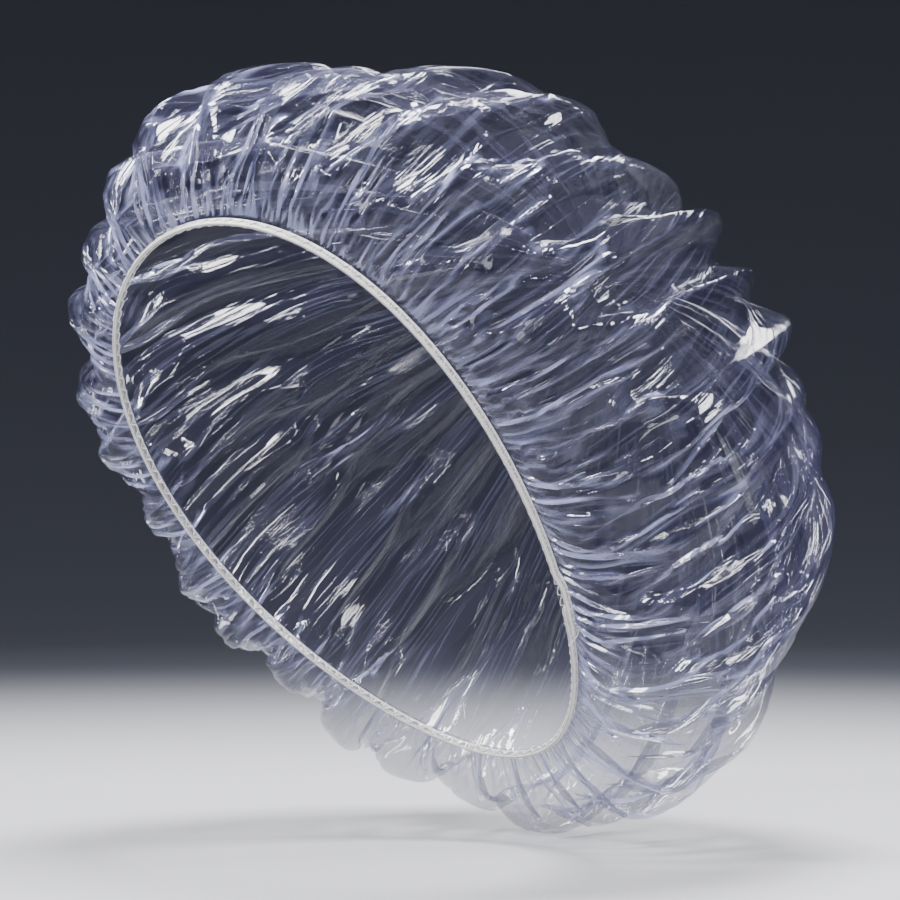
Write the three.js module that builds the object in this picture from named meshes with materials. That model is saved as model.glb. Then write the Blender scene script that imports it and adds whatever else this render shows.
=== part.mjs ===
// Shower cap: a disc of clear film gathered onto a narrow braided elastic.
//
// The cap is modelled as worn, in millimetres, with +Z up and the wearer facing -Y. The origin is the
// middle of the rim's opening. Everything is drawn in the rim's own frame, where x runs ear to ear
// (+x to the wearer's left), y from forehead to nape and z out of the opening towards the crown, and the
// whole group then leans back.
import * as THREE from 'three';

// Rim, along the middle of the elastic
const rimHalfLength = 116;
const rimHalfWidth = 79;
const rimTaper = 12; // extra half width towards the forehead, taken away towards the nape
const rimWave = 5; // forehead and nape stand this far above the rim's plane, the sides below it
const rimLeanDegrees = 50;

// Crown: each line from rim to crown is one smooth curve, set at the forehead, the sides and the nape
const crownHeight = 160; // from the rim's plane to the top of the crown
const crownSetBack = 22; // from the middle of the rim to the top of the crown, towards the nape
const frontFlare = 63; // how hard the film swells out of the rim
const sideFlare = 61;
const napeFlare = 88;
const frontDroopDegrees = -23; // how far below the rim's plane it sets off
const sideDroopDegrees = 29;
const napeDroopDegrees = 20;
const frontSpread = 124; // how flat it comes in to the top of the crown
const sideSpread = 158;
const napeSpread = 161;

// Film and its gathers
const filmThickness = 0.5;
const foldRidges = [ // where each main fold's ridge lies round the rim, in degrees, and how far it stands out
  [32, 3], [66, 2.5], [88, 3], [122, 5.5], [156, 3], [184, 3],
  [216, 4], [252, 3.5], [290, 5.5], [308, 3], [339, 4.5],
];
const valleyDip = 0.07; // how far a valley dips in for each degree between its two ridges
const foldEarly = 0.75; // below 1, the main folds are deepest nearer to the rim than to the crown
const filmColumns = 48;
const gatherDepth = 2; // half of the way from ridge to valley of the small gathers at the rim
const gatherReach = 0.5; // share of the way to the crown where the gathers have faded out
const gatherEarly = 0.6;
const crownRows = 11;
const rowBias = 1.35; // above 1, rows lie closer together at the rim
const crownLip = 3.2; // the film clears the elastic's upper edge by this much before it swells out

// Elastic: a flat braided cover with rubber cords in it, its two ends lapped
const elasticWidth = 3.2;
const elasticThickness = 1.2;
const coverWall = 0.25;
const cordCount = 2;
const cordDiameter = 0.4;
const cordSpacing = 1.3;
const lapFromFront = 196; // along the rim from the middle of the forehead, by way of the left ear
const lapLength = 14;
const lapRamp = 8;
const elasticSteps = 96;

// Seam: a zigzag of needle thread over the elastic and one of looper thread inside the film
const threadDiameter = 0.4;
const stitchLength = 5;
const stitchInset = 0.6; // from the elastic's edge to the middle of the thread at each turn
const tailDrop = 6; // the needle thread's cut end hangs this far past the rim
const tailRun = 5;
const tailSteps = 4;

// Clearances
const layerGap = 0.3;
const looperGap = 0.6;

const filmColour = 0xd8d7e5;
const braidColour = 0xe9e7e4;
const rubberColour = 0xd8ccb0;
const threadColour = 0xf4f2ef;

// A value that goes smoothly round the rim from its forehead, side and nape values
function roundRim(front, side, nape, angle) {
  const tilt = (front - nape) / 2;
  const pinch = ((front + nape) / 2 - side) / 2;
  return side + pinch + tilt * Math.cos(angle) + pinch * Math.cos(2 * angle);
}

// The rim's middle line; angle 0 is the forehead and a quarter turn is the left side
function rimPoint(angle) {
  const x = (rimHalfWidth + rimTaper * Math.cos(angle)) * Math.sin(angle);
  const y = -rimHalfLength * Math.cos(angle);
  return new THREE.Vector3(x, y, rimWave * Math.cos(2 * angle));
}

// Level direction straight out of the rim
function rimOutward(angle) {
  const alongX = rimHalfWidth * Math.cos(angle) + rimTaper * Math.cos(2 * angle);
  const alongY = rimHalfLength * Math.sin(angle);
  return new THREE.Vector3(alongY, -alongX, 0).normalize();
}

// Distance along the rim and the angle that it reaches
const rimSteps = 720;
const rimArc = [0];
for (let step = 1; step <= rimSteps; step += 1) {
  const from = rimPoint((2 * Math.PI * (step - 1)) / rimSteps);
  const to = rimPoint((2 * Math.PI * step) / rimSteps);
  rimArc.push(rimArc[step - 1] + from.distanceTo(to));
}
const rimLength = rimArc[rimSteps];

function rimAngle(distance) {
  const wrapped = ((distance % rimLength) + rimLength) % rimLength;
  const after = Math.max(1, rimArc.findIndex((arc) => arc >= wrapped));
  const share = (wrapped - rimArc[after - 1]) / (rimArc[after] - rimArc[after - 1]);
  return (2 * Math.PI * (after - 1 + share)) / rimSteps;
}

// A point beside the rim: outwards from its middle line and upwards towards the crown
function besideRim(angle, outwards, upwards) {
  return rimPoint(angle).addScaledVector(rimOutward(angle), outwards).setZ(rimPoint(angle).z + upwards);
}

// A closed mesh whose faces point outwards
function solid(points, triangles) {
  let volume = 0;
  for (const [a, b, c] of triangles) {
    volume += points[a].dot(new THREE.Vector3().crossVectors(points[b], points[c]));
  }
  const outward = volume < 0 ? triangles.map(([a, b, c]) => [a, c, b]) : triangles;
  const geometry = new THREE.BufferGeometry();
  geometry.setFromPoints(points);
  geometry.setIndex(outward.flat());
  geometry.computeVertexNormals();
  return geometry;
}

// The two triangles of a four-sided face
function quad(a, b, c, d) {
  return [[a, b, c], [a, c, d]];
}

// Evenly spaced values from first to last, both included
function evenly(first, last, steps) {
  return Array.from({ length: steps + 1 }, (_, step) => first + ((last - first) * step) / steps);
}

// Smooth crown surface before it is folded; way is 0 at the rim and 1 at the top
function crownPoint(angle, way) {
  const start = besideRim(angle, 0, elasticWidth / 2 + crownLip);
  const top = new THREE.Vector3(0, crownSetBack, crownHeight);
  const flare = roundRim(frontFlare, sideFlare, napeFlare, angle);
  const droop = roundRim(frontDroopDegrees, sideDroopDegrees, napeDroopDegrees, angle);
  const spread = roundRim(frontSpread, sideSpread, napeSpread, angle);
  const droopAngle = THREE.MathUtils.degToRad(droop);
  const setOff = start.clone().addScaledVector(rimOutward(angle), flare * Math.cos(droopAngle));
  setOff.z -= flare * Math.sin(droopAngle);
  const comeIn = top.clone();
  comeIn.x += spread * Math.sin(angle);
  comeIn.y -= spread * Math.cos(angle);
  return new THREE.CubicBezierCurve3(start, setOff, comeIn, top).getPoint(way);
}

// Outward direction of the smooth crown surface
function crownNormal(angle, way) {
  const small = 1e-3;
  const across = crownPoint(angle + small, way).sub(crownPoint(angle - small, way));
  const along = crownPoint(angle, way + small).sub(crownPoint(angle, way - small));
  return across.cross(along).normalize();
}

// Main folds round the crown: ridges stand out, and halfway to the next ridge a valley dips in
function foldAt(angle) {
  const degrees = THREE.MathUtils.radToDeg(angle);
  const after = foldRidges.findIndex(([ridgeDegrees]) => ridgeDegrees > degrees);
  const next = after < 0 ? 0 : after;
  const [from, height] = foldRidges[(next + foldRidges.length - 1) % foldRidges.length];
  const [to, nextHeight] = foldRidges[next];
  const gap = (to - from + 360) % 360;
  const share = ((degrees - from + 360) % 360) / gap;
  const ridge = share < 0.5 ? height : nextHeight;
  const near = (1 + Math.cos(2 * Math.PI * share)) / 2;
  return near * ridge - (1 - near) * valleyDip * gap;
}

// How far the film lies off the smooth crown: main folds, and small gathers close to the rim
function filmHeight(column, angle, way) {
  const fold = foldAt(angle) * Math.sin(Math.PI * way ** foldEarly);
  const gather = gatherDepth * Math.sin(Math.PI * Math.min(1, way / gatherReach) ** gatherEarly);
  return column % 2 === 0 ? fold + gather : fold - gather;
}

// The film, from its edge behind the elastic up over the crown, as a closed skin of one thickness
function makeCrownFilm() {
  const columns = filmColumns;
  const hemOutwards = -(elasticThickness / 2 + layerGap + filmThickness / 2);
  const middle = [];
  for (const hemHeight of [-elasticWidth / 2, elasticWidth / 2 + layerGap + filmThickness / 2]) {
    for (let column = 0; column < columns; column += 1) {
      middle.push(besideRim((2 * Math.PI * column) / columns, hemOutwards, hemHeight));
    }
  }
  for (let row = 0; row < crownRows; row += 1) {
    const way = (row / crownRows) ** rowBias;
    for (let column = 0; column < columns; column += 1) {
      const angle = (2 * Math.PI * column) / columns;
      const point = crownPoint(angle, way);
      if (row > 0) {
        point.addScaledVector(crownNormal(angle, way), filmHeight(column, angle, way));
      }
      middle.push(point);
    }
  }
  const top = middle.length;
  middle.push(crownPoint(0, 1));

  const skin = [];
  const rows = top / columns;
  for (let column = 0; column < columns; column += 1) {
    const next = (column + 1) % columns;
    for (let row = 0; row + 1 < rows; row += 1) {
      const lower = row * columns;
      skin.push(...quad(lower + column, lower + next, lower + columns + next, lower + columns + column));
    }
    skin.push([top - columns + column, top - columns + next, top]);
  }

  const sheet = new THREE.BufferGeometry().setFromPoints(middle);
  sheet.setIndex(skin.flat());
  sheet.computeVertexNormals();
  const normals = sheet.getAttribute('normal');
  const outer = [];
  const inner = [];
  for (let index = 0; index < middle.length; index += 1) {
    const normal = new THREE.Vector3().fromBufferAttribute(normals, index);
    outer.push(middle[index].clone().addScaledVector(normal, filmThickness / 2));
    inner.push(middle[index].clone().addScaledVector(normal, -filmThickness / 2));
  }
  const shift = middle.length;
  const triangles = [...skin, ...skin.map(([a, b, c]) => [a + shift, c + shift, b + shift])];
  for (let column = 0; column < columns; column += 1) {
    const next = (column + 1) % columns;
    triangles.push(...quad(next, column, column + shift, next + shift));
  }
  return solid([...outer, ...inner], triangles);
}

// A length swept along the rim: stations say where its middle runs, outlines are its section
function sweepAlongRim(stations, outline, hollow = []) {
  const points = [];
  const triangles = [];
  const around = outline.length;
  const ring = around + hollow.length;
  for (const { distance, outwards, upwards } of stations) {
    const angle = rimAngle(distance);
    for (const [sideways, height] of [...outline, ...hollow]) {
      points.push(besideRim(angle, outwards + sideways, upwards + height));
    }
  }
  for (let station = 0; station + 1 < stations.length; station += 1) {
    const near = station * ring;
    const far = near + ring;
    for (let corner = 0; corner < around; corner += 1) {
      const next = (corner + 1) % around;
      triangles.push(...quad(near + corner, near + next, far + next, far + corner));
    }
    for (let corner = 0; corner < hollow.length; corner += 1) {
      const a = around + corner;
      const b = around + ((corner + 1) % hollow.length);
      triangles.push(...quad(near + b, near + a, far + a, far + b));
    }
  }
  const last = (stations.length - 1) * ring;
  if (hollow.length > 0) {
    for (let corner = 0; corner < around; corner += 1) {
      const next = (corner + 1) % around;
      triangles.push(...quad(next, corner, around + corner, around + next));
      triangles.push(...quad(last + corner, last + next, last + around + next, last + around + corner));
    }
  } else {
    for (let corner = 1; corner + 1 < around; corner += 1) {
      triangles.push([0, corner + 1, corner]);
      triangles.push([last, last + corner, last + corner + 1]);
    }
  }
  return solid(points, triangles);
}

function rectangle(thickness, height) {
  const t = thickness / 2;
  const h = height / 2;
  return [[-t, -h], [t, -h], [t, h], [-t, h]];
}

// Thread and cord sections, a few flat sides inside the round one
function roundSection(diameter, sides) {
  return Array.from({ length: sides }, (_, side) => {
    const turn = (2 * Math.PI * (side + 0.5)) / sides;
    return [(diameter / 2) * Math.cos(turn), (diameter / 2) * Math.sin(turn)];
  });
}

// The elastic's run round the rim: it climbs over its own beginning and ends on top of it
const lapLift = elasticThickness + layerGap;
const rampEnd = lapFromFront + rimLength - lapRamp;
const rampStart = rampEnd - lapRamp;

function elasticLift(distance) {
  return lapLift * THREE.MathUtils.clamp((distance - rampStart) / lapRamp, 0, 1);
}

function elasticRun() {
  const lapEnd = lapFromFront + rimLength + lapLength;
  const distances = [...evenly(lapFromFront, rampStart, elasticSteps), ...evenly(rampEnd, lapEnd, 4)];
  return distances.map((distance) => ({ distance, outwards: elasticLift(distance), upwards: 0 }));
}

function makeElasticCover() {
  const channel = rectangle(elasticThickness - 2 * coverWall, elasticWidth - 2 * coverWall);
  return sweepAlongRim(elasticRun(), rectangle(elasticThickness, elasticWidth), channel);
}

function makeRubberCord(cord) {
  const offCentre = (cord - (cordCount - 1) / 2) * cordSpacing;
  const stations = elasticRun().map((station) => ({ ...station, upwards: offCentre }));
  return sweepAlongRim(stations, roundSection(cordDiameter, 4));
}

// Zigzag stations, half a stitch apart, from just past the lapped end all the way round onto the lap
function zigzag(outwardsAt) {
  const first = lapFromFront + lapLength + stitchLength;
  const last = lapFromFront + rimLength + lapLength - stitchLength;
  const turns = Math.round((2 * (last - first)) / stitchLength);
  const reach = elasticWidth / 2 - stitchInset;
  return evenly(first, last, turns).map((distance, turn) => ({
    distance,
    outwards: outwardsAt(distance),
    upwards: turn % 2 === 0 ? reach : -reach,
  }));
}

// Needle thread lies on the elastic, and its cut end hangs past the rim as a short tail
function makeNeedleThread() {
  const onElastic = elasticThickness / 2 + layerGap + threadDiameter / 2;
  const stations = zigzag((distance) => onElastic + elasticLift(distance));
  const knot = stations[stations.length - 1];
  for (let step = 1; step <= tailSteps; step += 1) {
    const share = step / tailSteps;
    stations.push({
      distance: knot.distance + tailRun * share,
      outwards: knot.outwards + lapLift * Math.sin(Math.PI * share),
      upwards: knot.upwards - tailDrop * share ** 2,
    });
  }
  return sweepAlongRim(stations, roundSection(threadDiameter, 3));
}

// Looper thread lies on the film's inner face, behind the elastic
function makeLooperThread() {
  const behindFilm = elasticThickness / 2 + layerGap + filmThickness + looperGap + threadDiameter / 2;
  return sweepAlongRim(zigzag(() => -behindFilm), roundSection(threadDiameter, 3));
}

const cap = new THREE.Group();

function addPiece(name, geometry, colour, roughness) {
  const material = new THREE.MeshStandardMaterial({ color: colour, roughness, metalness: 0 });
  const piece = new THREE.Mesh(geometry, material);
  piece.name = name;
  cap.add(piece);
  return piece;
}

const crownFilm = addPiece('crown_film', makeCrownFilm(), filmColour, 0.15);
crownFilm.material.transparent = true;
crownFilm.material.opacity = 0.35;
addPiece('elastic_cover', makeElasticCover(), braidColour, 0.9);
for (let cord = 0; cord < cordCount; cord += 1) {
  addPiece(`rubber_cord_${cord + 1}`, makeRubberCord(cord), rubberColour, 0.6);
}
addPiece('needle_thread', makeNeedleThread(), threadColour, 0.8);
addPiece('looper_thread', makeLooperThread(), threadColour, 0.8);
cap.rotation.x = -THREE.MathUtils.degToRad(rimLeanDegrees);

export default cap;
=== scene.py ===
"""Shower cap: gathers its clear film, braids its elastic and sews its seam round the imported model."""

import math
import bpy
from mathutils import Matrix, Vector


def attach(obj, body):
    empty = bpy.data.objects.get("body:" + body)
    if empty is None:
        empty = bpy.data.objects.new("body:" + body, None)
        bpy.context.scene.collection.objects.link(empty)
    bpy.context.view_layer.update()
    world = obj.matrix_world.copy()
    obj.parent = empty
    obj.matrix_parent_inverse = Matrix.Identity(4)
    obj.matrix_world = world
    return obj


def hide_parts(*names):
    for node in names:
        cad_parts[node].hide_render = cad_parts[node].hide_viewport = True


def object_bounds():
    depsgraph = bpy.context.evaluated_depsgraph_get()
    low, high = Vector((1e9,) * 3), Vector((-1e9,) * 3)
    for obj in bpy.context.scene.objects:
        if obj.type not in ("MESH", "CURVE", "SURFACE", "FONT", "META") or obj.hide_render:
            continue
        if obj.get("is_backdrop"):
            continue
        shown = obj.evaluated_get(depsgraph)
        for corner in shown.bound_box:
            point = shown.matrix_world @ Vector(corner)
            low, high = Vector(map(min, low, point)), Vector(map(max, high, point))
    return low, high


bl_info = {
    "name": "Shower Cap",
    "version": (1, 0, 0),
    "blender": (4, 5, 0),
    "location": "View3D > Sidebar > Shower Cap",
    "description": "Gathers a clear film shower cap onto its braided elastic",
    "category": "Add Mesh",
}

import bpy
import numpy as np
from mathutils import Vector

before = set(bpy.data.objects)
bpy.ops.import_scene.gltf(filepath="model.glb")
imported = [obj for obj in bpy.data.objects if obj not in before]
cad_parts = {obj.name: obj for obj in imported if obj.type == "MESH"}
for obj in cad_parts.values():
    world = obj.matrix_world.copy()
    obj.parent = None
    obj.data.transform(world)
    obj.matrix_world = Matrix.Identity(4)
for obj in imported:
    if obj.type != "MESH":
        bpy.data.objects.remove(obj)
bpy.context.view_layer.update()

MM = 0.001
ROOT = "root"


# Settings that a user would change

class CapShape(bpy.types.PropertyGroup):
    """Size of the worn cap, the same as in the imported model."""

    rim_half_length: bpy.props.FloatProperty(
        name="Rim half length", description="From the middle of the rim to the forehead",
        default=0.116, unit="LENGTH")
    rim_half_width: bpy.props.FloatProperty(
        name="Rim half width", description="From the middle of the rim to one side",
        default=0.079, unit="LENGTH")
    rim_taper: bpy.props.FloatProperty(
        name="Rim taper", description="Extra half width towards the forehead",
        default=0.012, unit="LENGTH")
    rim_wave: bpy.props.FloatProperty(
        name="Rim wave", description="Rise of forehead and nape above the rim's plane",
        default=0.005, unit="LENGTH")
    rim_lean: bpy.props.FloatProperty(
        name="Rim lean", description="Lean of the rim's plane, forehead up",
        default=math.radians(50), subtype="ANGLE")
    crown_height: bpy.props.FloatProperty(
        name="Crown height", description="From the rim's plane to the top of the crown",
        default=0.160, unit="LENGTH")
    crown_set_back: bpy.props.FloatProperty(
        name="Crown set back", description="Top of the crown towards the nape",
        default=0.022, unit="LENGTH")
    flare: bpy.props.FloatVectorProperty(
        name="Flare", description="Swell of the film out of the rim at forehead, side and nape",
        default=(0.063, 0.061, 0.088), unit="LENGTH")
    droop: bpy.props.FloatVectorProperty(
        name="Droop", description="Angle below the rim's plane at forehead, side and nape, in degrees",
        default=(-23, 29, 20))
    spread: bpy.props.FloatVectorProperty(
        name="Spread", description="Flatness at the top of the crown from forehead, side and nape",
        default=(0.124, 0.158, 0.161), unit="LENGTH")
    fold_degrees: bpy.props.FloatVectorProperty(
        name="Fold ridges", description="Where each main fold's ridge lies round the rim, in degrees",
        size=11, default=(32, 66, 88, 122, 156, 184, 216, 252, 290, 308, 339))
    fold_heights: bpy.props.FloatVectorProperty(
        name="Fold heights", description="How far each ridge stands out, in millimetres",
        size=11, default=(3, 2.5, 3, 5.5, 3, 3, 4, 3.5, 5.5, 3, 4.5))
    valley_dip: bpy.props.FloatProperty(
        name="Valley dip", description="Millimetres that a valley dips in for each degree between ridges",
        default=0.07)
    fold_early: bpy.props.FloatProperty(
        name="Fold early", description="Below 1, folds are deepest nearer to the rim", default=0.75)


class CapFilm(bpy.types.PropertyGroup):
    """The film disc and how it gathers."""

    flat_diameter: bpy.props.FloatProperty(
        name="Flat diameter", description="Diameter of the film disc before it is gathered",
        default=0.540, unit="LENGTH")
    lip: bpy.props.FloatProperty(
        name="Lip", description="Height of the film over the elastic before it swells out",
        default=0.0008, unit="LENGTH")
    hem_inset: bpy.props.FloatProperty(
        name="Hem inset", description="Film edge behind the middle of the elastic",
        default=0.00078, unit="LENGTH")
    spare: bpy.props.FloatProperty(
        name="Spare cloth", description="Extra film at the rim, as a share of the rim's length",
        default=0.9)
    fold_room: bpy.props.FloatProperty(
        name="Fold room", description="How far a fold may stand off the smooth crown",
        default=0.0045, unit="LENGTH")
    seed: bpy.props.IntProperty(
        name="Seed", description="Which set of folds the film falls into", default=4)
    haze: bpy.props.StringProperty(
        name="Haze", description="Colour of the flat film, as hex", default="34324F")
    whitening: bpy.props.StringProperty(
        name="Whitening", description="Colour of the film along a sharp crease, as hex",
        default="AEB2D6")


class CapElastic(bpy.types.PropertyGroup):
    """The braided elastic and its lapped ends."""

    width: bpy.props.FloatProperty(
        name="Width", description="Width of the elastic", default=0.0032, unit="LENGTH")
    thickness: bpy.props.FloatProperty(
        name="Thickness", description="Thickness of the elastic", default=0.0012, unit="LENGTH")
    lap_from_front: bpy.props.FloatProperty(
        name="Lap from front", description="Start of the lap, along the rim from the forehead",
        default=0.196, unit="LENGTH")
    lap_length: bpy.props.FloatProperty(
        name="Lap length", description="Length of the lapped ends", default=0.014, unit="LENGTH")
    lap_ramp: bpy.props.FloatProperty(
        name="Lap ramp", description="Length over which the elastic climbs onto its other end",
        default=0.008, unit="LENGTH")
    layer_gap: bpy.props.FloatProperty(
        name="Layer gap", description="Gap between layers", default=0.0003, unit="LENGTH")
    light: bpy.props.StringProperty(
        name="Yarn light", description="Colour of the braid's raised yarn, as hex", default="F2F0ED")
    # The dark colour is painted shade in the gaps between the braid's yarns.
    gap_shade: bpy.props.StringProperty(
        name="Yarn dark", description="Colour between the braid's yarns, as hex", default="9C9995")


class CapSeam(bpy.types.PropertyGroup):
    """The zigzag seam through film and elastic."""

    diameter: bpy.props.FloatProperty(
        name="Thread diameter", description="Diameter of the thread", default=0.0004, unit="LENGTH")
    stitch: bpy.props.FloatProperty(
        name="Stitch length", description="Length of one zigzag", default=0.005, unit="LENGTH")
    inset: bpy.props.FloatProperty(
        name="Stitch inset", description="From the elastic's edge to each turn",
        default=0.0006, unit="LENGTH")
    tail_drop: bpy.props.FloatProperty(
        name="Tail drop", description="How far the cut end hangs past the rim",
        default=0.006, unit="LENGTH")
    tail_run: bpy.props.FloatProperty(
        name="Tail run", description="How far the cut end runs along the rim",
        default=0.005, unit="LENGTH")
    behind: bpy.props.FloatProperty(
        name="Looper depth", description="Looper thread behind the middle of the elastic",
        default=0.0011, unit="LENGTH")
    colour: bpy.props.StringProperty(
        name="Thread colour", description="Colour of the thread, as hex", default="F6F4F1")


class CapStage(bpy.types.PropertyGroup):
    """Floor, lights and camera."""

    azimuth: bpy.props.FloatProperty(
        name="Azimuth", description="Camera angle round the cap", default=math.radians(40.15),
        subtype="ANGLE")
    elevation: bpy.props.FloatProperty(
        name="Elevation", description="Camera angle above level", default=math.radians(-1.13),
        subtype="ANGLE")
    distance: bpy.props.FloatProperty(
        name="Distance", description="From the camera to the cap", default=0.9725, unit="LENGTH")
    field: bpy.props.FloatProperty(
        name="Field", description="Width that the picture takes in at the cap", default=0.301,
        unit="LENGTH")
    aim: bpy.props.FloatVectorProperty(
        name="Aim", description="Middle of the picture, right of and above the rim's middle",
        size=2, default=(0.0304, 0.0210), unit="LENGTH")
    floor: bpy.props.StringProperty(
        name="Floor colour", description="Colour of the floor, as hex", default="A4A4A8")
    backdrop: bpy.props.StringProperty(
        name="Backdrop colour", description="Colour of the backdrop, as hex", default="3C3E47")


# Small helpers

ROW_DIGITS = 6
SEW_DISTANCE = 1e-6


def linear(hex_colour):
    """Linear RGBA of an sRGB hex colour, by the sRGB standard's own formula."""
    channels = [int(hex_colour[i:i + 2], 16) / 255 for i in (0, 2, 4)]
    return [c / 12.92 if c <= 0.04045 else ((c + 0.055) / 1.055) ** 2.4 for c in channels] + [1.0]


def add_node(tree, kind, settings=None, values=None, links=None):
    """Adds a node with its settings, socket values and links from other sockets."""
    node = tree.nodes.new(kind)
    for name, value in (settings or {}).items():
        setattr(node, name, value)
    for socket, value in (values or {}).items():
        node.inputs[socket].default_value = value
    for socket, source in (links or {}).items():
        tree.links.new(source, node.inputs[socket])
    return node


def new_material(name):
    """An empty material, its node tree and its surface socket."""
    material = bpy.data.materials.new(name)
    material.use_nodes = True
    tree = material.node_tree
    tree.nodes.clear()
    output = add_node(tree, "ShaderNodeOutputMaterial")
    return material, tree, output.inputs["Surface"]


def deselect_all():
    """Leaves nothing selected, because operators act on all that is."""
    bpy.ops.object.select_all(action="DESELECT")


def grid_piece(name, points):
    """Adds a grid and lays its vertices on rows of points. Returns it and its vertices' order."""
    rows, across = points.shape[:2]
    deselect_all()
    bpy.ops.mesh.primitive_grid_add(x_subdivisions=across - 1, y_subdivisions=rows - 1, size=1)
    piece = bpy.context.object
    piece.name = name
    piece.data.name = name
    start = np.empty(len(piece.data.vertices) * 3)
    piece.data.vertices.foreach_get("co", start)
    start = start.reshape(-1, 3)
    order = np.lexsort((start[:, 0], np.round(start[:, 1], ROW_DIGITS)))
    placed = np.empty_like(start)
    placed[order] = points.reshape(-1, 3)
    piece.data.vertices.foreach_set("co", placed.ravel())
    return piece, order


def add_attribute(piece, name, kind, order, values):
    """Stores one value for each point of a grid piece."""
    spread = np.empty_like(values)
    spread[order] = values
    attribute = piece.data.attributes.new(name, kind, "POINT")
    attribute.data.foreach_set("vector" if kind == "FLOAT_VECTOR" else "value", spread.ravel())


def sew_up(piece, capped):
    """Merges a grid piece's seam and pole, closes its ends if asked and turns its faces outwards."""
    bpy.ops.object.mode_set(mode="EDIT")
    bpy.ops.mesh.select_all(action="SELECT")
    bpy.ops.mesh.remove_doubles(threshold=SEW_DISTANCE)
    if capped:
        bpy.ops.mesh.fill_holes(sides=0)
    bpy.ops.mesh.select_all(action="SELECT")
    bpy.ops.mesh.normals_make_consistent(inside=False)
    bpy.ops.object.mode_set(mode="OBJECT")
    bpy.ops.object.shade_smooth()


# The worn shape

RIM_STEPS = 2880


def round_rim(three, angle):
    """A value that goes smoothly round the rim from its forehead, side and nape values."""
    front, side, nape = three
    tilt = (front - nape) / 2
    pinch = ((front + nape) / 2 - side) / 2
    return side + pinch + tilt * np.cos(angle) + pinch * np.cos(2 * angle)


def rim_point(shape, angle):
    """The elastic's middle line in the rim's own frame; angle 0 is the forehead."""
    x = (shape.rim_half_width + shape.rim_taper * np.cos(angle)) * np.sin(angle)
    y = -shape.rim_half_length * np.cos(angle)
    return np.stack([x, y, shape.rim_wave * np.cos(2 * angle)], -1)


def rim_outward(shape, angle):
    """Level direction straight out of the rim."""
    along_x = shape.rim_half_width * np.cos(angle) + shape.rim_taper * np.cos(2 * angle)
    along_y = shape.rim_half_length * np.sin(angle)
    length = np.hypot(along_x, along_y)
    return np.stack([along_y / length, -along_x / length, 0 * angle], -1)


def worn(shape, points):
    """Leans points from the rim's own frame back to where the cap is worn."""
    cos, sin = math.cos(shape.rim_lean), math.sin(shape.rim_lean)
    x, y, z = points[..., 0], points[..., 1], points[..., 2]
    return np.stack([x, y * cos + z * sin, z * cos - y * sin], -1)


def rim_table(shape):
    """Angles round the rim and the distance along it that each is at."""
    angles = np.linspace(0, 2 * np.pi, RIM_STEPS + 1)
    steps = np.linalg.norm(np.diff(rim_point(shape, angles), axis=0), axis=1)
    return angles, np.concatenate([[0], np.cumsum(steps)])


def rim_length(shape):
    """Length of the elastic's middle line."""
    return rim_table(shape)[1][-1]


def beside_rim(shape, distance, outwards, upwards):
    """Points beside the rim, by distance along it, in the rim's own frame."""
    angles, arc = rim_table(shape)
    angle = np.interp(distance % arc[-1], arc, angles)
    points = rim_point(shape, angle) + rim_outward(shape, angle) * np.asarray(outwards)[..., None]
    points[..., 2] += upwards
    return points


def crown_point(shape, start_height, angle, way):
    """Smooth crown, from way 0 at the rim to way 1 at the top, in the rim's own frame."""
    start = rim_point(shape, angle)
    start[..., 2] += start_height
    top = np.array([0, shape.crown_set_back, shape.crown_height])
    flare = round_rim(shape.flare, angle)
    droop = np.radians(round_rim(shape.droop, angle))
    spread = round_rim(shape.spread, angle)
    set_off = start + rim_outward(shape, angle) * (flare * np.cos(droop))[..., None]
    set_off[..., 2] -= flare * np.sin(droop)
    come_in = top + np.stack([spread * np.sin(angle), -spread * np.cos(angle), 0 * angle], -1)
    w = way[..., None]
    lower = (1 - w) ** 3 * start + 3 * w * (1 - w) ** 2 * set_off
    return lower + 3 * w * w * (1 - w) * come_in + w ** 3 * top


def fold_heights(shape, angle, way):
    """Main folds off the smooth crown: ridges stand out, and valleys halfway between them dip in."""
    ridges = np.array(shape.fold_degrees)
    heights = np.array(shape.fold_heights) * MM
    degrees = np.degrees(angle) % 360
    after = np.searchsorted(ridges, degrees, side="right") % len(ridges)
    before = after - 1
    gap = (ridges[after] - ridges[before]) % 360
    share = (degrees - ridges[before]) % 360 / gap
    ridge = np.where(share < 0.5, heights[before], heights[after])
    near = (1 + np.cos(2 * np.pi * share)) / 2
    fold = near * ridge - (1 - near) * shape.valley_dip * MM * gap
    return fold * np.sin(np.pi * way ** shape.fold_early)


# Gathering the film

ROW_BIAS = 1.15
GATHER_LEVELS = (
    # columns, rows, passes, most spare cloth
    (224, 48, 120, 1.08),
    (448, 84, 90, 1.22),
    (768, 120, 50, 1.55),
)
LINE_POINTS = 300
FIRST_NOISE = 0.8 * MM
LATER_NOISE = 0.15 * MM
NOISE_RUN = 6
STRAIGHTEN_PASSES = 12

# How firmly the film holds each kind of length: 1 is at once, and less is softer
HOLD = 1
SHEAR = 0.4
CREASE_BEND = 0.03
LENGTH_BEND = 0.6
LENGTH_SLACK = 1.006

# Added to lengths that are divided by, so that none is zero
NO_LENGTH = 1e-12
NO_SPAN = 1e-9

# How far folds may stand in and out: they grow over a length from the rim and shrink near the top
RIM_GROWTH = 0.045
TOP_DECAY = 6
TOP_LEAST = 0.1
LEAST_ROOM_IN = 0.0003
LEAST_ROOM_OUT = 0.0004
INWARD_ROOM = 0.85

# Every few passes, each part of a row is brought some of the way back to the smooth crown
LEVEL_EVERY = 3
LEVEL_PULL = 0.3
LEVEL_PARTS = 40

# Rows of the hem: inset and height, as shares of the hem's inset and of half the elastic's width
HEM_ROWS = ((1.0, -0.9), (1.05, 0.0), (1.0, 0.95))
HEM_CREASE = 0.5


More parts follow.
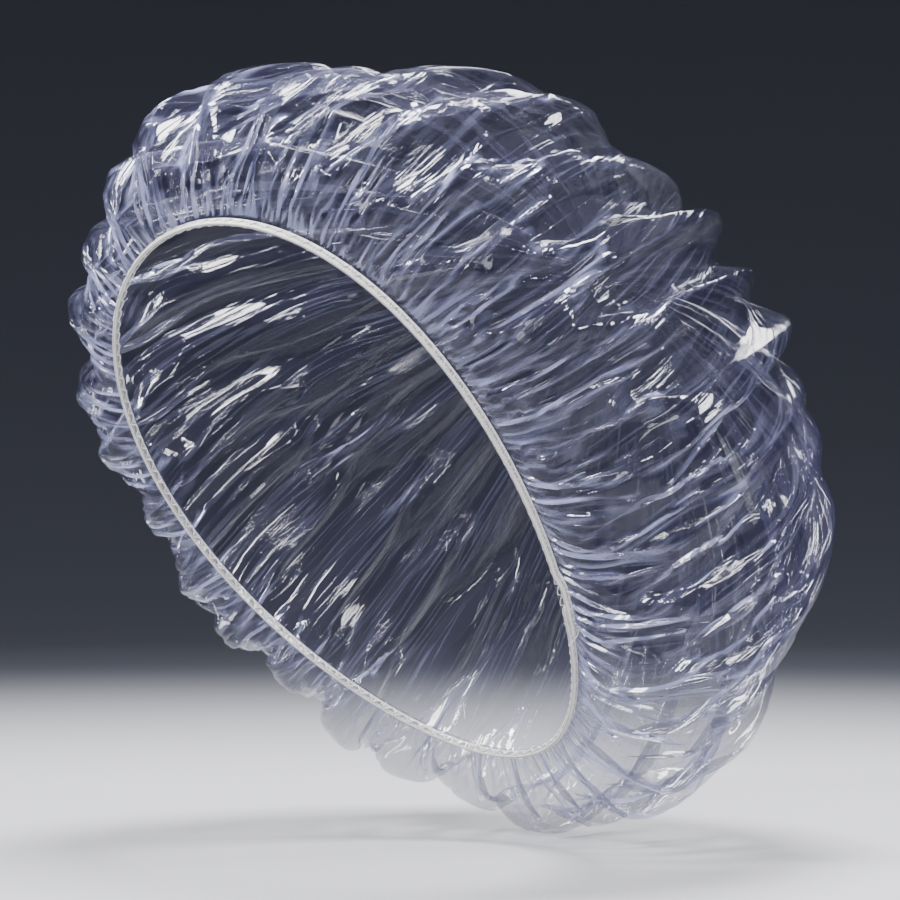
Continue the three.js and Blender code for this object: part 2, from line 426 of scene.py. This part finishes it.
def crown_grid(shape, film, elastic, columns, rows):
    """Crown with its main folds, as rows of points at set shares of the way from rim to top."""
    angle = np.linspace(0, 2 * np.pi, columns, endpoint=False)
    way = np.linspace(0, 1, LINE_POINTS)
    start_height = elastic.width / 2 + film.lip
    lines = crown_point(shape, start_height, *np.broadcast_arrays(angle[:, None], way[None]))
    steps = np.linalg.norm(np.diff(lines, axis=1), axis=2)
    arc = np.concatenate([np.zeros((columns, 1)), np.cumsum(steps, axis=1)], 1)
    share = (np.arange(rows) / rows) ** ROW_BIAS
    grid = np.empty((rows, columns, 3))
    reached = np.empty((rows, columns))
    for column in range(columns):
        stops = share * arc[column, -1]
        reached[:, column] = np.interp(stops, arc[column], way)
        for axis in range(3):
            grid[:, column, axis] = np.interp(stops, arc[column], lines[column, :, axis])
    grid += grid_normals(grid) * fold_heights(shape, angle, reached)[..., None]
    return grid, share, arc[:, -1].mean()


def grid_normals(grid):
    """Directions off a grid that closes on itself along its rows."""
    across = np.roll(grid, -1, 1) - np.roll(grid, 1, 1)
    along = np.gradient(grid, axis=0)
    normal = np.cross(across, along)
    return normal / np.linalg.norm(normal, axis=2)[..., None]


def pull(film, first, second, length, stiffness):
    """Moves pairs of points towards their length apart."""
    a, b = film[first], film[second]
    apart = b - a
    now = np.sqrt((apart * apart).sum(2)) + NO_LENGTH
    move = apart * ((now - length) / now * 0.5 * stiffness)[..., None]
    film[first] = a + move
    film[second] = b - move


def row_average(grid, reach):
    """Mean of each point and its neighbours within reach along the row."""
    columns = grid.shape[1]
    padded = np.concatenate([grid[:, -reach:], grid, grid[:, :reach]], 1)
    total = np.cumsum(np.concatenate([np.zeros_like(padded[:, :1]), padded], 1), axis=1)
    width = 2 * reach + 1
    return (total[:, width:width + columns] - total[:, :columns]) / width


def finer(grid, share, columns, new_share):
    """The same grid with more columns and rows."""
    rows, old = grid.shape[:2]
    place = np.arange(columns) * old / columns
    left = place.astype(int)
    part = (place - left)[None, :, None]
    wide = grid[:, left % old] * (1 - part) + grid[:, (left + 1) % old] * part
    below = np.clip(np.searchsorted(share, new_share, side="right") - 1, 0, rows - 2)
    part = ((new_share - share[below]) / (share[below + 1] - share[below]))[:, None, None]
    return wide[below] * (1 - part) + wide[below + 1] * part


def long_noise(random, rows, columns, height):
    """Random heights that run on along the film from rim to crown."""
    noise = random.normal(0, 1, (rows, columns))
    for _ in range(rows // NOISE_RUN):
        noise[1:-1] = (noise[:-2] + noise[1:-1] + noise[2:]) / 3
    return noise * height / noise.std()


def straighten(folds, passes):
    """Evens out the folds along the film, so that creases run straight from rim to crown."""
    for _ in range(passes):
        folds[1:-1] = (folds[:-2] + 2 * folds[1:-1] + folds[2:]) / 4
    return folds


def settle(film, smooth, normal, share, length, spare_limit, passes, settings):
    """Lets the film fold until it holds its spare cloth, level with the smooth crown on average."""
    rows, columns = smooth.shape[:2]
    spare = np.minimum(1 + settings.spare * (1 - share) ** 2, spare_limit)[:, None]
    across = np.linalg.norm(np.roll(smooth, -1, 1) - smooth, axis=2) * spare
    along = np.linalg.norm(smooth[1:] - smooth[:-1], axis=2) * LENGTH_SLACK
    slant = np.sqrt((0.5 * (across[1:] + across[:-1])) ** 2 + along ** 2)
    across_two = across + np.roll(across, -1, 1)
    along_two = along[1:] + along[:-1]

    every_row = np.arange(rows)
    every_column = np.arange(columns)
    column_halves = (every_column[0::2], every_column[1::2])
    column_pairs = (every_column[every_column % 4 < 2], every_column[every_column % 4 >= 2])
    row_halves = (every_row[:-1][0::2], every_row[:-1][1::2])
    row_pairs = (every_row[:-2][every_row[:-2] % 4 < 2], every_row[:-2][every_row[:-2] % 4 >= 2])
    next_column = (every_column + 1) % columns

    rise = np.clip(share * length / RIM_GROWTH, 0, 1) * np.clip((1 - share) * TOP_DECAY, TOP_LEAST, 1)
    room_in = (LEAST_ROOM_IN + settings.fold_room * INWARD_ROOM * rise)[:, None]
    room_out = (LEAST_ROOM_OUT + settings.fold_room * rise)[:, None]
    reach = columns // LEVEL_PARTS

    for step in range(passes):
        for c in column_halves:
            first, second = np.ix_(every_row, c), np.ix_(every_row, (c + 1) % columns)
            pull(film, first, second, across[:, c], HOLD)
        for r in row_halves:
            pull(film, np.ix_(r, every_column), np.ix_(r + 1, every_column), along[r], HOLD)
        for r in row_halves:
            pull(film, np.ix_(r, every_column), np.ix_(r + 1, next_column), slant[r], SHEAR)
            pull(film, np.ix_(r, next_column), np.ix_(r + 1, every_column), slant[r], SHEAR)
        for c in column_pairs:
            first, second = np.ix_(every_row, c), np.ix_(every_row, (c + 2) % columns)
            pull(film, first, second, across_two[:, c], CREASE_BEND)
        for r in row_pairs:
            pull(film, np.ix_(r, every_column), np.ix_(r + 2, every_column), along_two[r], LENGTH_BEND)
        if step % LEVEL_EVERY == 0:
            film -= LEVEL_PULL * row_average(film - smooth, reach)
        height = ((film - smooth) * normal).sum(2)
        film += normal * (np.clip(height, -room_in, room_out) - height)[..., None]
        film[0] = smooth[0]
        film[-1] = smooth[-1]
    return film


def gather_film(shape, film, elastic):
    """Gathers the film onto the rim, from coarse folds to fine, in the rim's own frame."""
    random = np.random.default_rng(film.seed)
    levels = GATHER_LEVELS
    folds = None
    for columns, rows, passes, spare_limit in levels:
        smooth, share, length = crown_grid(shape, film, elastic, columns, rows)
        normal = grid_normals(smooth)
        if folds is None:
            folded = smooth + normal * long_noise(random, rows, columns, FIRST_NOISE)[..., None]
        else:
            folded = smooth + straighten(finer(folds, last_share, columns, share), STRAIGHTEN_PASSES)
            folded += normal * long_noise(random, rows, columns, LATER_NOISE)[..., None]
        folded = settle(folded, smooth, normal, share, length, spare_limit, passes, film)
        folds = folded - smooth
        last_share = share
    return folded, share


def crease_sharpness(grid):
    """How sharply the film is folded at each point: 0 where flat, 1 at a right angle."""
    left, right = np.roll(grid, 1, 1), np.roll(grid, -1, 1)
    bend = np.linalg.norm(left + right - 2 * grid, axis=2)
    span = np.linalg.norm(right - left, axis=2) + NO_SPAN
    return bend / span


class CAP_OT_gather_film(bpy.types.Operator):
    """Gathers the clear film disc onto the rim"""

    bl_idname = "cap.gather_film"
    bl_label = "Gather film"

    def execute(self, context):
        scene = context.scene
        shape, film, elastic = scene.cap_shape, scene.cap_film, scene.cap_elastic
        crown, share = gather_film(shape, film, elastic)
        columns = crown.shape[1]
        angle = np.linspace(0, 2 * np.pi, columns, endpoint=False)

        half = elastic.width / 2
        hem = []
        for inset, height in HEM_ROWS:
            row = rim_point(shape, angle) - rim_outward(shape, angle) * film.hem_inset * inset
            row[:, 2] += half * height
            hem.append(row)
        top = np.array([0, shape.crown_set_back, shape.crown_height])
        grid = np.concatenate([np.array(hem), crown, np.broadcast_to(top, (1, columns, 3))])
        way = np.concatenate([np.zeros(len(hem)), share, [1]])
        crease = crease_sharpness(grid)
        crease[:len(hem)] = HEM_CREASE
        crease[-1] = 0
        round_way = np.empty(grid.shape)
        round_way[..., 0] = np.cos(angle)
        round_way[..., 1] = np.sin(angle)
        round_way[..., 2] = way[:, None]

        def closed(values):
            """Repeats the first column after the last."""
            return np.concatenate([values, values[:, :1]], 1)

        piece, order = grid_piece("gathered_film", worn(shape, closed(grid)))
        add_attribute(piece, "crease", "FLOAT", order, closed(crease).ravel())
        add_attribute(piece, "gather", "FLOAT_VECTOR", order, closed(round_way).reshape(-1, 3))
        sew_up(piece, capped=False)
        piece.data.materials.append(polyethylene_film(film))
        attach(piece, ROOT)
        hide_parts("crown_film")
        return {"FINISHED"}


FINE_SCALE = (48, 48, 2.5)
BROAD_SCALE = (20, 20, 2.0)
RIDGE_MIDDLE = 0.5
RIDGE_EDGE = 0.46
FINE_WHITENING = 0.4
CREASE_START = 0.35
CREASE_FULL = 1.2
FLAT_ALPHA = 0.27
CREASE_ALPHA = 0.56
POLYETHYLENE_IOR = 1.52


def polyethylene_film(film):
    """Blown polyethylene film: clear with a faint violet haze, glossy, whitened along its creases."""
    material, tree, surface = new_material("polyethylene_film")
    gather = add_node(tree, "ShaderNodeAttribute", {"attribute_name": "gather"})
    crease = add_node(tree, "ShaderNodeAttribute", {"attribute_name": "crease"})

    # Fine creases run from the rim to the crown, about 2 mm apart at the rim
    fine_way = add_node(tree, "ShaderNodeMapping", values={"Scale": FINE_SCALE},
                        links={"Vector": gather.outputs["Vector"]})
    lines = add_node(tree, "ShaderNodeTexNoise",
                     values={"Scale": 1.0, "Detail": 3.0, "Distortion": 0.5},
                     links={"Vector": fine_way.outputs["Vector"]})
    ridge = add_node(tree, "ShaderNodeMath", {"operation": "PINGPONG"}, {1: RIDGE_MIDDLE},
                     {0: lines.outputs["Fac"]})
    sharp = add_node(tree, "ShaderNodeMapRange",
                     values={"From Min": RIDGE_EDGE, "From Max": RIDGE_MIDDLE},
                     links={"Value": ridge.outputs["Value"]})
    folded = add_node(tree, "ShaderNodeMapRange",
                      values={"From Min": CREASE_START, "From Max": CREASE_FULL},
                      links={"Value": crease.outputs["Fac"]})
    part = add_node(tree, "ShaderNodeMath", {"operation": "MULTIPLY"}, {1: FINE_WHITENING},
                    {0: sharp.outputs["Result"]})
    white = add_node(tree, "ShaderNodeMath", {"operation": "MAXIMUM"},
                     links={0: part.outputs["Value"], 1: folded.outputs["Result"]})

    colour = add_node(tree, "ShaderNodeMix", {"data_type": "RGBA"},
                      {6: linear(film.haze), 7: linear(film.whitening)},
                      {0: white.outputs["Value"]})
    alpha = add_node(tree, "ShaderNodeMapRange",
                     values={"To Min": FLAT_ALPHA, "To Max": CREASE_ALPHA},
                     links={"Value": white.outputs["Value"]})

    # Broad crinkles, drawn out the same way, about 5 mm apart at the rim, with the fine creases on them
    broad_way = add_node(tree, "ShaderNodeMapping", values={"Scale": BROAD_SCALE},
                         links={"Vector": gather.outputs["Vector"]})
    crinkle = add_node(tree, "ShaderNodeTexNoise",
                       values={"Scale": 1.0, "Detail": 2.0, "Distortion": 0.3},
                       links={"Vector": broad_way.outputs["Vector"]})
    rough = add_node(tree, "ShaderNodeMapRange", values={"To Min": 0.04, "To Max": 0.12},
                     links={"Value": crinkle.outputs["Fac"]})
    broad = add_node(tree, "ShaderNodeBump", values={"Strength": 0.7, "Distance": 0.0015},
                     links={"Height": crinkle.outputs["Fac"]})
    fine = add_node(tree, "ShaderNodeBump", values={"Strength": 0.5, "Distance": 0.0004},
                    links={"Height": sharp.outputs["Result"], "Normal": broad.outputs["Normal"]})
    shader = add_node(tree, "ShaderNodeBsdfPrincipled",
                      values={"IOR": POLYETHYLENE_IOR, "Specular IOR Level": 0.5, "Coat Weight": 1.0,
                              "Coat IOR": 1.65, "Coat Roughness": 0.03},
                      links={"Base Color": colour.outputs[2], "Alpha": alpha.outputs["Result"],
                             "Roughness": rough.outputs["Result"], "Normal": fine.outputs["Normal"],
                             "Coat Normal": fine.outputs["Normal"]})
    tree.links.new(shader.outputs["BSDF"], surface)
    return material


# The elastic

BRAID_STEP = 0.3 * MM
BRAID_AROUND = 24
BRAID_PITCH = 1.2 * MM
BRAID_RIB = 0.8 * MM
BRAID_RELIEF = 0.18 * MM
SIDE_ROUNDING = 0.6
EDGE_ROUNDING = 0.8
END_SIZE = 0.6
END_TAPER = 1 * MM
YARN_PATCHES = 0.35


def lap_lift(shape, elastic, distance):
    """How far the elastic stands off the rim where it climbs over its own beginning."""
    ramp_end = elastic.lap_from_front + rim_length(shape) - elastic.lap_ramp
    share = np.clip((distance - ramp_end + elastic.lap_ramp) / elastic.lap_ramp, 0, 1)
    return (elastic.thickness + elastic.layer_gap) * share * share * (3 - 2 * share)


def braid_relief(distance, across):
    """Height of the braid's chevrons, from 0 between yarns to 1 on top of them."""
    rib = np.floor(across / BRAID_RIB)
    within = across / BRAID_RIB - rib - 0.5
    lean = np.where(rib % 2 == 0, 1.0, -1.0)
    yarn = np.abs(np.cos(np.pi * (distance / BRAID_PITCH + lean * within)))
    return np.sqrt(yarn) * np.sqrt(np.clip(1 - (2 * np.abs(within)) ** 3, 0, 1))


class CAP_OT_braid_elastic(bpy.types.Operator):
    """Braids the elastic's white cover and laps its ends"""

    bl_idname = "cap.braid_elastic"
    bl_label = "Braid elastic"

    def execute(self, context):
        shape, elastic = context.scene.cap_shape, context.scene.cap_elastic
        run = rim_length(shape) + elastic.lap_length
        distance = elastic.lap_from_front + np.arange(0, run, BRAID_STEP)
        turn = np.linspace(0, 2 * np.pi, BRAID_AROUND + 1)
        turn[-1] = 0
        side = np.sign(np.cos(turn)) * np.abs(np.cos(turn)) ** SIDE_ROUNDING
        rise = np.sign(np.sin(turn)) * np.abs(np.sin(turn)) ** EDGE_ROUNDING
        across = rise * elastic.width / 2
        relief = braid_relief(distance[:, None], across[None])
        ends = np.minimum(distance - distance[0], distance[-1] - distance)
        taper = END_SIZE + (1 - END_SIZE) * np.clip(ends / END_TAPER, 0, 1)[:, None]
        half = elastic.thickness / 2 - BRAID_RELIEF / 2
        outwards = side * (half + BRAID_RELIEF * relief) * taper
        outwards = outwards + lap_lift(shape, elastic, distance)[:, None]
        upwards = across[None] * taper + 0 * relief
        points = beside_rim(shape, np.broadcast_to(distance[:, None], relief.shape), outwards, upwards)
        piece, order = grid_piece("elastic_braid", worn(shape, points))
        # The braid's relief, which the material also uses to paint shade between the yarns.
        add_attribute(piece, "yarn", "FLOAT", order, relief.ravel())
        sew_up(piece, capped=True)
        piece.data.materials.append(braided_polyester(elastic))
        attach(piece, ROOT)
        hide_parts("elastic_cover")
        return {"FINISHED"}


def braided_polyester(elastic):
    """Braided textured polyester: matt and soft, raised yarns white, with painted shade making the gaps
    between them grey.
    """
    material, tree, surface = new_material("braided_polyester")
    yarn = add_node(tree, "ShaderNodeAttribute", {"attribute_name": "yarn"})
    place = add_node(tree, "ShaderNodeTexCoord")
    fluff = add_node(tree, "ShaderNodeTexNoise", values={"Scale": 2500.0, "Detail": 3.0},
                     links={"Vector": place.outputs["Object"]})
    patch = add_node(tree, "ShaderNodeTexNoise", values={"Scale": 160.0, "Detail": 2.0},
                     links={"Vector": place.outputs["Object"]})
    # The braid's relief mixes in the dark colour between the yarns as painted shade; the patch noise adds
    # tone that differs at random.
    mixed = add_node(tree, "ShaderNodeMath", {"operation": "MULTIPLY_ADD"}, {1: YARN_PATCHES},
                     {0: patch.outputs["Fac"], 2: yarn.outputs["Fac"]})
    tone = add_node(tree, "ShaderNodeMapRange", values={"From Min": 0.1, "From Max": 1.0},
                    links={"Value": mixed.outputs["Value"]})
    colour = add_node(tree, "ShaderNodeMix", {"data_type": "RGBA"},
                      {6: linear(elastic.gap_shade), 7: linear(elastic.light)},
                      {0: tone.outputs["Result"]})
    rough = add_node(tree, "ShaderNodeMapRange", values={"To Min": 0.75, "To Max": 0.95},
                     links={"Value": fluff.outputs["Fac"]})
    bump = add_node(tree, "ShaderNodeBump", values={"Strength": 0.6, "Distance": 0.0001},
                    links={"Height": fluff.outputs["Fac"]})
    shader = add_node(tree, "ShaderNodeBsdfPrincipled",
                      values={"IOR": 1.5, "Sheen Weight": 0.3, "Sheen Roughness": 0.5},
                      links={"Base Color": colour.outputs[2], "Roughness": rough.outputs["Result"],
                             "Normal": bump.outputs["Normal"]})
    tree.links.new(shader.outputs["BSDF"], surface)
    return material


# The seam

THREAD_AROUND = 8
TWIST_PITCH = 1.6 * MM
PLY_DEPTH = 0.16
PLY_SIZE = 0.9
POINTS_A_TURN = 9
TURN_SHARPNESS = 0.97
DIP_SHARPNESS = 12
NEEDLE_SEAT = 0.8
NEEDLE_DIP = 1.2
TAIL_POINTS = 30
OFF_AXIS = 0.01
# Painted shade for the groove between the thread's two plies.
GROOVE_SHADE = "C4C1BE"


def zigzag_run(shape, elastic, seam):
    """Distance along the rim and height of a zigzag, in small steps, and how far it dips at its turns."""
    first = elastic.lap_from_front + elastic.lap_length + seam.stitch
    last = elastic.lap_from_front + rim_length(shape) + elastic.lap_length - seam.stitch
    turns = round(2 * (last - first) / seam.stitch)
    phase = np.linspace(0, turns, turns * POINTS_A_TURN + 1)
    reach = elastic.width / 2 - seam.inset
    swing = np.arcsin(TURN_SHARPNESS * np.cos(np.pi * phase)) / math.asin(TURN_SHARPNESS)
    depth = np.abs(np.cos(np.pi * phase)) ** DIP_SHARPNESS
    return first + (last - first) * phase / turns, reach * swing, depth


def thread_tube(name, path, lean, radius):
    """A two-ply thread along a path; lean is any direction roughly across it."""
    along = np.gradient(path, axis=0)
    along /= np.linalg.norm(along, axis=1)[:, None]
    side = np.cross(along, lean)
    side /= np.linalg.norm(side, axis=1)[:, None]
    over = np.cross(side, along)
    run = np.concatenate([[0], np.cumsum(np.linalg.norm(np.diff(path, axis=0), axis=1))])
    turn = np.linspace(0, 2 * np.pi, THREAD_AROUND + 1)
    turn[-1] = 0
    ply = 1 + PLY_DEPTH * np.cos(2 * (turn[None] - np.pi * run[:, None] / TWIST_PITCH))
    ring = side[:, None] * np.cos(turn)[None, :, None] + over[:, None] * np.sin(turn)[None, :, None]
    points = path[:, None] + ring * (radius * PLY_SIZE * ply)[..., None]
    piece, order = grid_piece(name, points)
    # How deep each point lies in the groove between plies, from 0 at its bottom to 1 on a ply; the material
    # paints shade from it.
    groove = (ply - (1 - PLY_DEPTH)) / (2 * PLY_DEPTH)
    add_attribute(piece, "ply", "FLOAT", order, groove.ravel())
    sew_up(piece, capped=True)
    return piece


class CAP_OT_sew_seam(bpy.types.Operator):
    """Sews the needle thread over the elastic and the looper thread behind the film"""

    bl_idname = "cap.sew_seam"
    bl_label = "Sew seam"

    def execute(self, context):
        scene = context.scene
        shape, elastic, seam = scene.cap_shape, scene.cap_elastic, scene.cap_seam
        distance, height, depth = zigzag_run(shape, elastic, seam)
        radius = seam.diameter / 2
        finish = spun_polyester(seam)

        on_top = elastic.thickness / 2 + radius * NEEDLE_SEAT + lap_lift(shape, elastic, distance)
        outwards = on_top - depth * seam.diameter * NEEDLE_DIP
        share = np.linspace(0, 1, TAIL_POINTS)[1:]
        tail_distance = distance[-1] + seam.tail_run * share
        tail_out = outwards[-1] + (elastic.thickness + elastic.layer_gap) * np.sin(np.pi * share)
        tail_height = height[-1] - seam.tail_drop * share ** 2
        path = beside_rim(shape, np.concatenate([distance, tail_distance]),
                          np.concatenate([outwards, tail_out]), np.concatenate([height, tail_height]))
        needle = thread_tube("needle_seam", worn(shape, path), self.off_rim(shape, len(path)), radius)
        needle.data.materials.append(finish)
        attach(needle, ROOT)
        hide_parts("needle_thread")

        behind = -seam.behind + depth * seam.diameter
        path = beside_rim(shape, distance, behind, -height)
        looper = thread_tube("looper_seam", worn(shape, path), self.off_rim(shape, len(path)), radius)
        looper.data.materials.append(finish)
        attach(looper, ROOT)
        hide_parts("looper_thread")
        return {"FINISHED"}

    @staticmethod
    def off_rim(shape, count):
        """Direction very nearly straight out of the opening, once for each point."""
        return np.broadcast_to(worn(shape, np.array([0.0, 0.0, 1.0])), (count, 3)) + OFF_AXIS


def spun_polyester(seam):
    """Spun polyester thread: white and matt, with painted shade in the groove between its two plies."""
    material, tree, surface = new_material("spun_polyester")
    ply = add_node(tree, "ShaderNodeAttribute", {"attribute_name": "ply"})
    place = add_node(tree, "ShaderNodeTexCoord")
    fibre = add_node(tree, "ShaderNodeTexNoise", values={"Scale": 4000.0, "Detail": 2.0},
                     links={"Vector": place.outputs["Object"]})
    # The groove mixes in grey: painted shade between the two plies.
    colour = add_node(tree, "ShaderNodeMix", {"data_type": "RGBA"},
                      {6: linear(GROOVE_SHADE), 7: linear(seam.colour)}, {0: ply.outputs["Fac"]})
    rough = add_node(tree, "ShaderNodeMapRange", values={"To Min": 0.65, "To Max": 0.9},
                     links={"Value": fibre.outputs["Fac"]})
    bump = add_node(tree, "ShaderNodeBump", values={"Strength": 0.5, "Distance": 0.00005},
                    links={"Height": fibre.outputs["Fac"]})
    shader = add_node(tree, "ShaderNodeBsdfPrincipled", values={"IOR": 1.5, "Sheen Weight": 0.2},
                      links={"Base Color": colour.outputs[2], "Roughness": rough.outputs["Result"],
                             "Normal": bump.outputs["Normal"]})
    tree.links.new(shader.outputs["BSDF"], surface)
    return material


# The rubber cords

LATEX_DARK = "CDBF9E"
LATEX_LIGHT = "E4DAC2"


class CAP_OT_finish_cords(bpy.types.Operator):
    """Gives the rubber cords inside the elastic their finish"""

    bl_idname = "cap.finish_cords"
    bl_label = "Finish rubber cords"

    def execute(self, context):
        finish = natural_latex()
        for name in ("rubber_cord_1", "rubber_cord_2"):
            cord = bpy.data.objects[name]
            cord.data.materials.clear()
            cord.data.materials.append(finish)
        return {"FINISHED"}


def natural_latex():
    """Extruded natural latex: cream, slightly cloudy, with a dull sheen."""
    material, tree, surface = new_material("natural_latex")
    place = add_node(tree, "ShaderNodeTexCoord")
    cloud = add_node(tree, "ShaderNodeTexNoise", values={"Scale": 300.0, "Detail": 2.0},
                     links={"Vector": place.outputs["Object"]})
    colour = add_node(tree, "ShaderNodeMix", {"data_type": "RGBA"},
                      {6: linear(LATEX_DARK), 7: linear(LATEX_LIGHT)}, {0: cloud.outputs["Fac"]})
    rough = add_node(tree, "ShaderNodeMapRange", values={"To Min": 0.5, "To Max": 0.7},
                     links={"Value": cloud.outputs["Fac"]})
    shader = add_node(tree, "ShaderNodeBsdfPrincipled", values={"IOR": 1.52},
                      links={"Base Color": colour.outputs[2], "Roughness": rough.outputs["Result"]})
    tree.links.new(shader.outputs["BSDF"], surface)
    return material


# The stage

FLOOR_RADIUS = 1.6
FLOOR_RINGS = (0, 0.25, 0.5, 0.75)
FLOOR_BEND = 0.9
BEND_STEPS = 12
WALL_HEIGHTS = (1.3, 1.7)
FLOOR_AROUND = 96
PALE_REACH = 0.3
DARK_REACH = 1.3
LIT_POINT = (0.0, 0.05, 0.02)

# Lights: name, place and width in metres, and power in watts
LIGHTS = (
    ("key", (-0.3, -1.0, 0.9), 0.26, 16),
    ("side", (1.03, 0.48, 0.5), 0.26, 8),
    ("back", (-0.5, 1.2, 1.1), 0.4, 8),
    ("top", (0.05, 0.12, 1.25), 0.46, 42),
    ("fill", (0.85, -1.08, 0.6), 0.5, 6),
)
SKY_COLOUR = (0.9, 0.92, 1.0, 1)
SKY_STRENGTH = 0.4
FILM_LAYERS_SEEN = 64
CONTRAST_LOOK = "AgX - Medium High Contrast"
SENSOR_WIDTH = 36
NEAREST_SEEN = 0.01


def area_light(name, place, target, size, power):
    """A square soft light that faces a point."""
    deselect_all()
    bpy.ops.object.light_add(type="AREA", location=place)
    light = bpy.context.object
    light.name = name
    light.data.size = size
    light.data.energy = power
    light.visible_camera = False
    light.rotation_euler = (Vector(place) - Vector(target)).to_track_quat("Z", "Y").to_euler()


class CAP_OT_set_stage(bpy.types.Operator):
    """Sets the pale floor, the lights and the camera"""

    bl_idname = "cap.set_stage"
    bl_label = "Set stage"

    def execute(self, context):
        scene = context.scene
        stage = scene.cap_stage
        low = min(corner[2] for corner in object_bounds())

        profile = [(FLOOR_RADIUS * share, 0.0) for share in FLOOR_RINGS]
        for bend in np.linspace(0, math.pi / 2, BEND_STEPS + 1):
            profile.append((FLOOR_RADIUS + FLOOR_BEND * math.sin(bend), FLOOR_BEND * (1 - math.cos(bend))))
        profile += [(FLOOR_RADIUS + FLOOR_BEND, height) for height in WALL_HEIGHTS]
        turn = np.linspace(0, 2 * np.pi, FLOOR_AROUND + 1)
        turn[-1] = 0
        points = np.array([[(r * math.cos(t), r * math.sin(t), low + z) for t in turn] for r, z in profile])
        floor, _ = grid_piece("floor", points)
        sew_up(floor, capped=False)
        bpy.ops.object.mode_set(mode="EDIT")
        bpy.ops.mesh.flip_normals()
        bpy.ops.object.mode_set(mode="OBJECT")
        floor.data.materials.append(painted_floor(stage))
        floor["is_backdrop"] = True

        for name, place, size, power in LIGHTS:
            area_light(name, place, LIT_POINT, size, power)
        world = bpy.data.worlds.new("studio")
        world.use_nodes = True
        sky = world.node_tree.nodes["Background"]
        sky.inputs["Color"].default_value = SKY_COLOUR
        sky.inputs["Strength"].default_value = SKY_STRENGTH
        scene.world = world
        scene.cycles.transparent_max_bounces = FILM_LAYERS_SEEN
        scene.view_settings.look = CONTRAST_LOOK

        cos, sin = math.cos(stage.azimuth), math.sin(stage.azimuth)
        level, rise = math.cos(stage.elevation), math.sin(stage.elevation)
        back = Vector((sin * level, -cos * level, rise))
        right = Vector((cos, sin, 0))
        upward = back.cross(right)
        target = right * stage.aim[0] + upward * stage.aim[1]
        deselect_all()
        bpy.ops.object.camera_add(location=target + back * stage.distance)
        camera = context.object
        camera.rotation_euler = back.to_track_quat("Z", "Y").to_euler()
        camera.data.sensor_width = SENSOR_WIDTH
        camera.data.lens = SENSOR_WIDTH * stage.distance / stage.field
        camera.data.clip_start = NEAREST_SEEN
        scene.camera = camera
        return {"FINISHED"}


def painted_floor(stage):
    """Matt studio paint: a pale floor that darkens into its backdrop, faintly uneven from the roller."""
    material, tree, surface = new_material("studio_paint")
    place = add_node(tree, "ShaderNodeTexCoord")
    roller = add_node(tree, "ShaderNodeTexNoise", values={"Scale": 3.0, "Detail": 2.0},
                      links={"Vector": place.outputs["Object"]})
    away = add_node(tree, "ShaderNodeVectorMath", {"operation": "LENGTH"},
                    links={0: place.outputs["Object"]})
    fade = add_node(tree, "ShaderNodeMapRange", {"interpolation_type": "SMOOTHSTEP"},
                    {"From Min": PALE_REACH, "From Max": DARK_REACH}, {"Value": away.outputs["Value"]})
    colour = add_node(tree, "ShaderNodeMix", {"data_type": "RGBA"},
                      {6: linear(stage.floor), 7: linear(stage.backdrop)},
                      {0: fade.outputs["Result"]})
    rough = add_node(tree, "ShaderNodeMapRange", values={"To Min": 0.85, "To Max": 0.95},
                     links={"Value": roller.outputs["Fac"]})
    shader = add_node(tree, "ShaderNodeBsdfPrincipled",
                      links={"Base Color": colour.outputs[2], "Roughness": rough.outputs["Result"]})
    tree.links.new(shader.outputs["BSDF"], surface)
    return material


class CAP_PT_panel(bpy.types.Panel):
    """Lists the cap's operators and settings in the sidebar"""

    bl_idname = "CAP_PT_panel"
    bl_label = "Shower Cap"
    bl_space_type = "VIEW_3D"
    bl_region_type = "UI"
    bl_category = "Shower Cap"

    def draw(self, context):
        for operator in OPERATORS:
            self.layout.operator(operator.bl_idname)
        for name, group in GROUPS.items():
            column = self.layout.box().column()
            for setting in group.__annotations__:
                column.prop(getattr(context.scene, name), setting)


GROUPS = {
    "cap_shape": CapShape,
    "cap_film": CapFilm,
    "cap_elastic": CapElastic,
    "cap_seam": CapSeam,
    "cap_stage": CapStage,
}
OPERATORS = (
    CAP_OT_gather_film,
    CAP_OT_braid_elastic,
    CAP_OT_sew_seam,
    CAP_OT_finish_cords,
    CAP_OT_set_stage,
)


def register():
    """Registers the settings, the operators and the panel."""
    for name, group in GROUPS.items():
        bpy.utils.register_class(group)
        setattr(bpy.types.Scene, name, bpy.props.PointerProperty(type=group))
    for operator in OPERATORS:
        bpy.utils.register_class(operator)
    bpy.utils.register_class(CAP_PT_panel)


def unregister():
    """Removes what register added."""
    bpy.utils.unregister_class(CAP_PT_panel)
    for operator in reversed(OPERATORS):
        bpy.utils.unregister_class(operator)
    for name, group in reversed(GROUPS.items()):
        delattr(bpy.types.Scene, name)
        bpy.utils.unregister_class(group)


def main():
    """Builds the cap and its stage."""
    register()
    bpy.ops.cap.gather_film()
    bpy.ops.cap.braid_elastic()
    bpy.ops.cap.sew_seam()
    bpy.ops.cap.finish_cords()
    bpy.ops.cap.set_stage()


if __name__ == "__main__":
    main()
